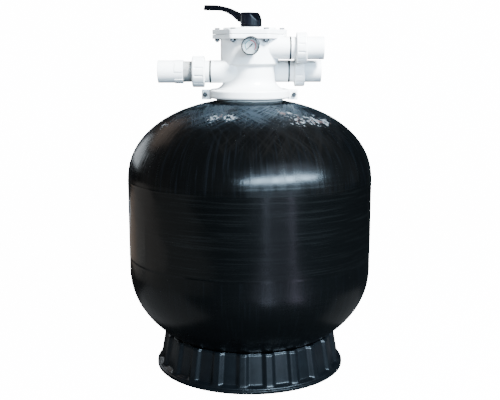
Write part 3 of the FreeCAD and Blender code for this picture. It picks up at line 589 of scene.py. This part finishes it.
def foot():
    """The skirt: wide sunk panels with narrow upright ribs between them, over a flat lip."""
    period = 2 * math.pi / PANEL_COUNT
    outer = [
        (FOOT_RADIUS - 0.0012, 0.0), (FOOT_RADIUS, 0.0012), (FOOT_RADIUS, 0.0076),
        (FOOT_RADIUS - 0.0006, 0.0086), (FOOT_RADIUS - 0.0020, 0.0092),
        (FOOT_RADIUS - 0.0050, 0.0098),
    ]
    first_wall = len(outer)
    levels = [0.0108, 0.0120, 0.0135, 0.0150, 0.0165, 0.018, 0.020, 0.022, 0.025, 0.028]
    levels += [0.030 + 0.004 * i for i in range(15)]
    levels += [0.0885, 0.0900, 0.0912, 0.0924, 0.0934, 0.0942, 0.0948, FOOT_HIGH]
    for level in levels:
        flare = 0.0110 * math.exp(-(level - 0.0098) / 0.0030)
        lean = 0.2430 + (0.030 - level) * 0.18
        crown = 0.0022 * step(level, 0.0885, FOOT_HIGH) ** 2
        outer.append((min(lean + flare * 0.6, FOOT_RADIUS - 0.005) - crown, level))
    last_wall = len(outer) - 1
    inner = [
        (0.2200, FOOT_HIGH), (0.2184, 0.0940), (0.2178, 0.0920), (0.2195, 0.080),
        (0.2215, 0.0662), (0.1810, 0.0662), (0.1810, 0.0732), (0.1760, 0.0732),
        (0.1760, 0.0602), (0.2225, 0.0602), (0.2290, 0.030), (0.2310, 0.0),
    ]

    def ribbed(radius, height, angle, number):
        if number < first_wall or number > last_wall:
            return radius
        phase = (angle - PANEL_TURN) % period
        off_panel = min(phase, period - phase) * PANEL_REACH
        sink = 1 - step(off_panel, 0.0155, 0.0285)
        depth = PANEL_DEPTH * step(height, 0.0105, 0.0185)
        return radius - depth * sink

    data = lathe("foot_ribbed_skirt", outer + inner, PANEL_COUNT * PANEL_COLUMNS, ribbed)
    piece("foot_ribbed_skirt", data, "moulded_black", stands_for=("foot_base",))
    foot_pip()


PIP_RADIUS = 0.0024
PIP_FLATNESS = 0.55
PIP_TURN = math.radians(-90 - 7.2)
PIP_REACH = 0.2415
PIP_HEIGHT = 0.0165


def foot_pip():
    """The small round gate mark low on the front of the skirt."""
    graph = bmesh.new()
    bmesh.ops.create_uvsphere(graph, u_segments=20, v_segments=12, radius=PIP_RADIUS)
    bmesh.ops.scale(graph, vec=(1, PIP_FLATNESS, 1), verts=graph.verts)
    turn = Matrix.Rotation(PIP_TURN + math.pi / 2, 3, "Z")
    bmesh.ops.rotate(graph, matrix=turn, verts=graph.verts)
    place = (PIP_REACH * math.cos(PIP_TURN), PIP_REACH * math.sin(PIP_TURN), PIP_HEIGHT)
    bmesh.ops.translate(graph, vec=place, verts=graph.verts)
    data = bpy.data.meshes.new("foot_gate_mark")
    graph.to_mesh(data)
    graph.free()
    piece("foot_gate_mark", smooth_shaded(data), "moulded_black")


# ---- handle ----


HANDLE_VOXEL = 0.0009
HANDLE_PASSES = 30


def handle():
    """The lever: a round boss and an arm that sweeps up and out to a flat grip, as one form."""
    softened("handle", HANDLE_VOXEL, HANDLE_PASSES)


# ---- gauge ----


def on_dial(right, up, out):
    """A point on the gauge, from the middle of the back of its case."""
    return GAUGE_BACK + GAUGE_RIGHT * right + GAUGE_UP * up + GAUGE_OUT * out


DIAL_LEVEL = 0.0180
SCALE_START = math.radians(225)
SCALE_SWEEP = math.radians(-270)
ARC_INNER = 0.0125
ARC_OUTER = 0.0143
ARC_THICK = 0.00012
TICK_COUNT = 41
TICKS_PER_FIGURE = 10
TICK_OUTER = 0.0124
LONG_TICK = (0.0098, 0.0014)
SHORT_TICK = (0.0110, 0.0007)
TICK_THICK = 0.00014
FIGURE_COUNT = 5
FIGURE_REACH = 0.0169
FIGURE_SIZE = 0.0042


def arc_band(name, inner, outer, start, end, thick, slot, material):
    """A raised printed band on the dial between two shares of the scale."""
    graph = bmesh.new()
    steps = max(2, int(abs(end - start) * 60))
    rows = []
    for number in range(steps + 1):
        angle = SCALE_START + SCALE_SWEEP * (start + (end - start) * number / steps)
        ring = []
        for radius, out in ((inner, 0.0), (outer, 0.0), (outer, thick), (inner, thick)):
            right, up = radius * math.cos(angle), radius * math.sin(angle)
            ring.append(graph.verts.new(on_dial(right, up, DIAL_LEVEL + out)))
        rows.append(ring)
    for first, second in zip(rows, rows[1:]):
        for i in range(4):
            graph.faces.new((first[i], first[(i + 1) % 4], second[(i + 1) % 4], second[i]))
    graph.faces.new(rows[0])
    graph.faces.new(rows[-1][::-1])
    bmesh.ops.recalc_face_normals(graph, faces=graph.faces)
    data = bpy.data.meshes.new(name)
    graph.to_mesh(data)
    graph.free()
    return piece(name, data, slot, material=material)


def gauge_print():
    """The dial's coloured arcs, ticks and figures. A tick is its inner end and half its width."""
    half_way = 0.5
    arc_band("dial_green_arc", ARC_INNER, ARC_OUTER, 0.0, half_way, ARC_THICK, "dial_white",
             DIAL_GREEN)
    arc_band("dial_red_arc", ARC_INNER, ARC_OUTER, half_way, 1.0, ARC_THICK, "dial_white", DIAL_RED)
    for number in range(TICK_COUNT):
        share = number / (TICK_COUNT - 1)
        inner, half = SHORT_TICK if number % TICKS_PER_FIGURE else LONG_TICK
        arc_band("dial_tick_%02d" % number, inner, TICK_OUTER, share - half, share + half,
                 TICK_THICK, "needle_black", MATERIALS["needle_black"])
    for number in range(FIGURE_COUNT):
        figure(str(number), number / (FIGURE_COUNT - 1))


def figure(text, share):
    """One figure of the scale, as a flat solid."""
    curve = bpy.data.curves.new("figure", "FONT")
    curve.body = text
    curve.size = FIGURE_SIZE
    curve.extrude = 0.00005
    curve.align_x = "CENTER"
    curve.align_y = "CENTER"
    shown = bpy.data.objects.new("figure", curve)
    bpy.context.scene.collection.objects.link(shown)
    seen = shown.evaluated_get(bpy.context.evaluated_depsgraph_get())
    data = bpy.data.meshes.new_from_object(seen)
    bpy.data.objects.remove(shown)
    angle = SCALE_START + SCALE_SWEEP * share
    right, up = FIGURE_REACH * math.cos(angle), FIGURE_REACH * math.sin(angle)
    place = on_dial(right, up, DIAL_LEVEL + 0.0001)
    turn = Matrix((GAUGE_RIGHT, GAUGE_UP, GAUGE_OUT)).transposed().to_4x4()
    data.transform(Matrix.Translation(place) @ turn)
    piece("dial_figure_" + text, data, "needle_black")


# ---- port seals ----


def port_seals():
    """The rubber ring of each port, squeezed out a little over the plastic on both sides of it."""
    for name in ("pump", "return", "waste"):
        node = name + "_port_ring"
        low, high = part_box(node)
        half = (high.x - low.x) / 2 + SEAL_SQUEEZE
        middle = (low + high) / 2
        shoulder, edge = SEAL_OUTSIDE - 0.0003, SEAL_OUTSIDE - 0.0012
        rings = [
            (edge, -half), (shoulder, -half * 0.75), (SEAL_OUTSIDE, 0.0),
            (shoulder, half * 0.75), (edge, half), (SEAL_INSIDE, half), (SEAL_INSIDE, -half),
        ]
        data = lathe(name + "_port_seal", rings, SEAL_COLUMNS, lambda radius, *rest: radius)
        data.transform(Matrix.Translation(middle) @ Matrix.Rotation(math.pi / 2, 4, "Y"))
        piece(name + "_port_seal", data, "seal_rubber", stands_for=(node,))


# ---- stage, light and camera ----


SWEEP_HALF = 6.0
SWEEP_START = 2.2
SWEEP_RADIUS = 1.2
SWEEP_TOP = 4.5
SWEEP_STEPS = 16
FLOOR_IN_GLOSS = rgb(0.03, 0.031, 0.032)


def stage():
    """A floor that sweeps up into a wall. It is white to the eye and dark in the object's gloss."""
    graph = bmesh.new()
    profile = [(-SWEEP_HALF, 0.0), (SWEEP_START, 0.0)]
    for number in range(1, SWEEP_STEPS + 1):
        turn = math.pi / 2 * number / SWEEP_STEPS
        out, up = SWEEP_RADIUS * math.sin(turn), SWEEP_RADIUS * (1 - math.cos(turn))
        profile.append((SWEEP_START + out, up))
    profile.append((SWEEP_START + SWEEP_RADIUS, SWEEP_TOP))
    rows = [[graph.verts.new((x, y, z)) for x in (-SWEEP_HALF, SWEEP_HALF)] for y, z in profile]
    for first, second in zip(rows, rows[1:]):
        graph.faces.new((first[0], first[1], second[1], second[0]))
    data = bpy.data.meshes.new("floor_sweep")
    graph.to_mesh(data)
    graph.free()
    floor = bpy.data.objects.new("floor_sweep", smooth_shaded(data))
    bpy.context.scene.collection.objects.link(floor)
    surface = Graph("floor_paper")
    weave = surface.noise(surface.position(), 40.0, 3.0)
    seen = surface.add("LightPath", output="Is Camera Ray")
    paper = surface.mix(weave, rgb(0.93, 0.93, 0.935), rgb(0.90, 0.90, 0.905))
    surface.set(Base_Color=surface.mix(seen, FLOOR_IN_GLOSS, paper), Roughness=0.9)
    surface.set(Specular_IOR_Level=0.1, Emission_Color=rgb(1, 1, 1))
    surface.set(Emission_Strength=surface.product(seen, FLOOR_GLOW))
    data.materials.append(surface.material)


STRIP_LIFT = 0.004


def toward(bearing, reach, height):
    """A point at this many degrees to the right of the front, at this reach and height."""
    turn = math.radians(bearing)
    return reach * math.sin(turn), -reach * math.cos(turn), height


def area_light(name, place, target, width, height, radiance, colour=(1, 1, 1), shines_on=None):
    """A rectangle of this radiance, turned to the target. shines_on None is everything."""
    data = bpy.data.lights.new(name, "AREA")
    data.shape = "RECTANGLE"
    data.size = width
    data.size_y = height
    data.energy = radiance * math.pi * width * height
    data.color = colour
    lamp = bpy.data.objects.new(name, data)
    bpy.context.scene.collection.objects.link(lamp)
    lamp.location = place
    lamp.rotation_euler = (Vector(target) - Vector(place)).to_track_quat("-Z", "Y").to_euler()
    lamp.visible_camera = False
    if shines_on:
        lamp.light_linking.receiver_collection = shines_on
    return lamp


def floor_strip(name, bearing, near, far, width, radiance, colour):
    """A dim strip on the floor, from near to far, that shows in the gloss as an upright band."""
    middle = toward(bearing, (near + far) / 2, STRIP_LIFT)
    lamp = area_light(name, middle, (0, 0, 9), width, far - near, radiance, colour)
    lamp.rotation_euler = (math.pi, 0, math.radians(bearing))
    return lamp


# name, (bearing, reach, height), height it looks at, (width, height), radiance, colour, shape
AREA_LIGHTS = (
    ("window_low", (30, 3.5, 1.58), 0.55, (5.0, 0.50), 42.0, (0.56, 0.79, 1.0), "ELLIPSE"),
    ("window_high", (38, 3.3, 2.35), 0.55, (3.6, 1.7), 0.9, (0.70, 0.80, 1.0), "ELLIPSE"),
    ("horizon", (24, 3.5, 0.28), 0.55, (3.2, 0.5), 0.9, (0.66, 0.83, 1.0), "RECTANGLE"),
    ("behind", (170, 3.0, 3.4), 0.7, (2.4, 1.2), 0.8, (0.80, 0.92, 1.0), "RECTANGLE"),
    ("shoulder", (-136, 3.2, 1.12), 0.6, (1.5, 0.85), 2.0, (0.85, 0.93, 1.0), "RECTANGLE"),
    ("shoulder_warm", (-138, 3.2, 2.45), 0.65, (2.0, 1.1), 0.55, (1.0, 0.80, 0.68), "RECTANGLE"),
)

# name, bearing, near end, far end, width, radiance, colour
FLOOR_STRIPS = (
    ("rim", -147, 1.3, 5.0, 0.22, 1.0, (0.78, 0.89, 1.0)),
    ("rim_warm", -137, 1.3, 5.0, 0.80, 0.38, (1.0, 0.80, 0.66)),
    ("left_far", -112, 1.2, 5.0, 2.0, 0.30, (1.0, 0.95, 0.90)),
    ("left_near", -72, 1.0, 5.0, 2.2, 0.17, (0.97, 1.0, 0.97)),
    ("low_left", -76, 0.33, 1.0, 0.75, 0.24, (0.92, 0.96, 1.0)),
    ("low_right", 92, 0.33, 0.8, 0.5, 0.17, (0.92, 0.96, 1.0)),
    ("band_near", 14, 0.82, 6.5, 0.13, 3.0, (0.66, 0.76, 1.0)),
    ("band_far", 36, 0.82, 6.5, 0.18, 2.4, (0.74, 0.72, 1.0)),
    ("band_wide", 25, 0.90, 6.5, 1.00, 0.26, (0.78, 0.76, 1.0)),
)

# name, (bearing, reach, height), (width, height), radiance, colour
VALVE_LIGHTS = (
    ("valve_key", (42, 1.7, 2.5), (0.60, 0.60), 680.0, (0.95, 0.99, 1)),
    ("valve_fill", (-32, 2.2, 1.5), (1.6, 1.0), 9.0, (0.92, 0.97, 1.0)),
)
VALVE_HEIGHT = 0.83


def world_light():
    """A world that is white to the eye and dim in reflections."""
    world = bpy.data.worlds.new("studio")
    world.use_nodes = True
    tree = world.node_tree
    background = tree.nodes["Background"]
    background.inputs["Color"].default_value = rgb(0.95, 0.96, 0.95)
    path = tree.nodes.new("ShaderNodeLightPath")
    level = tree.nodes.new("ShaderNodeMapRange")
    level.inputs["To Min"].default_value = WORLD_DIM
    level.inputs["To Max"].default_value = WORLD_SEEN
    tree.links.new(path.outputs["Is Camera Ray"], level.inputs["Value"])
    tree.links.new(level.outputs["Result"], background.inputs["Strength"])
    bpy.context.scene.world = world


def lights():
    world_light()
    for name, place, aim, size, radiance, colour, shape in AREA_LIGHTS:
        lamp = area_light(name, toward(*place), (0, 0, aim), *size, radiance, colour)
        lamp.data.shape = shape
    for strip in FLOOR_STRIPS:
        floor_strip(*strip)
    for name, place, size, radiance, colour in VALVE_LIGHTS:
        aim = (0, 0, VALVE_HEIGHT)
        area_light(name, toward(*place), aim, *size, radiance, colour, PALE)


# The eye: its place, how far it looks down in degrees, and its lens.
EYE = (0.001, -2.2503, 0.8531)
EYE_DIP = 10.16
LENS = 60.85
SENSOR = 36.0


def camera():
    data = bpy.data.cameras.new("camera")
    data.sensor_width = SENSOR
    data.lens = LENS
    data.clip_start = 0.05
    eye = bpy.data.objects.new("camera", data)
    bpy.context.scene.collection.objects.link(eye)
    eye.location = EYE
    eye.rotation_euler = (math.radians(90 - EYE_DIP), 0, 0)
    bpy.context.scene.camera = eye


MOULDED = {
    # node: voxel size and smoothing passes
    "valve_body": (0.0012, 3),
    "valve_lid": (0.0009, 2),
    "clamp_front": (0.0010, 3),
    "clamp_rear": (0.0010, 3),
    "pump_union_nut": (0.0008, 3),
    "return_union_nut": (0.0008, 3),
    "waste_union_nut": (0.0008, 3),
    "waste_socket": (0.0008, 2),
    "drain_cap": (0.0007, 2),
}

camera()
stage()
lights()
dress_nodes()
tank()
foot()
handle()
for node, (voxel, passes) in MOULDED.items():
    softened(node, voxel, passes)
gauge_print()
port_seals()
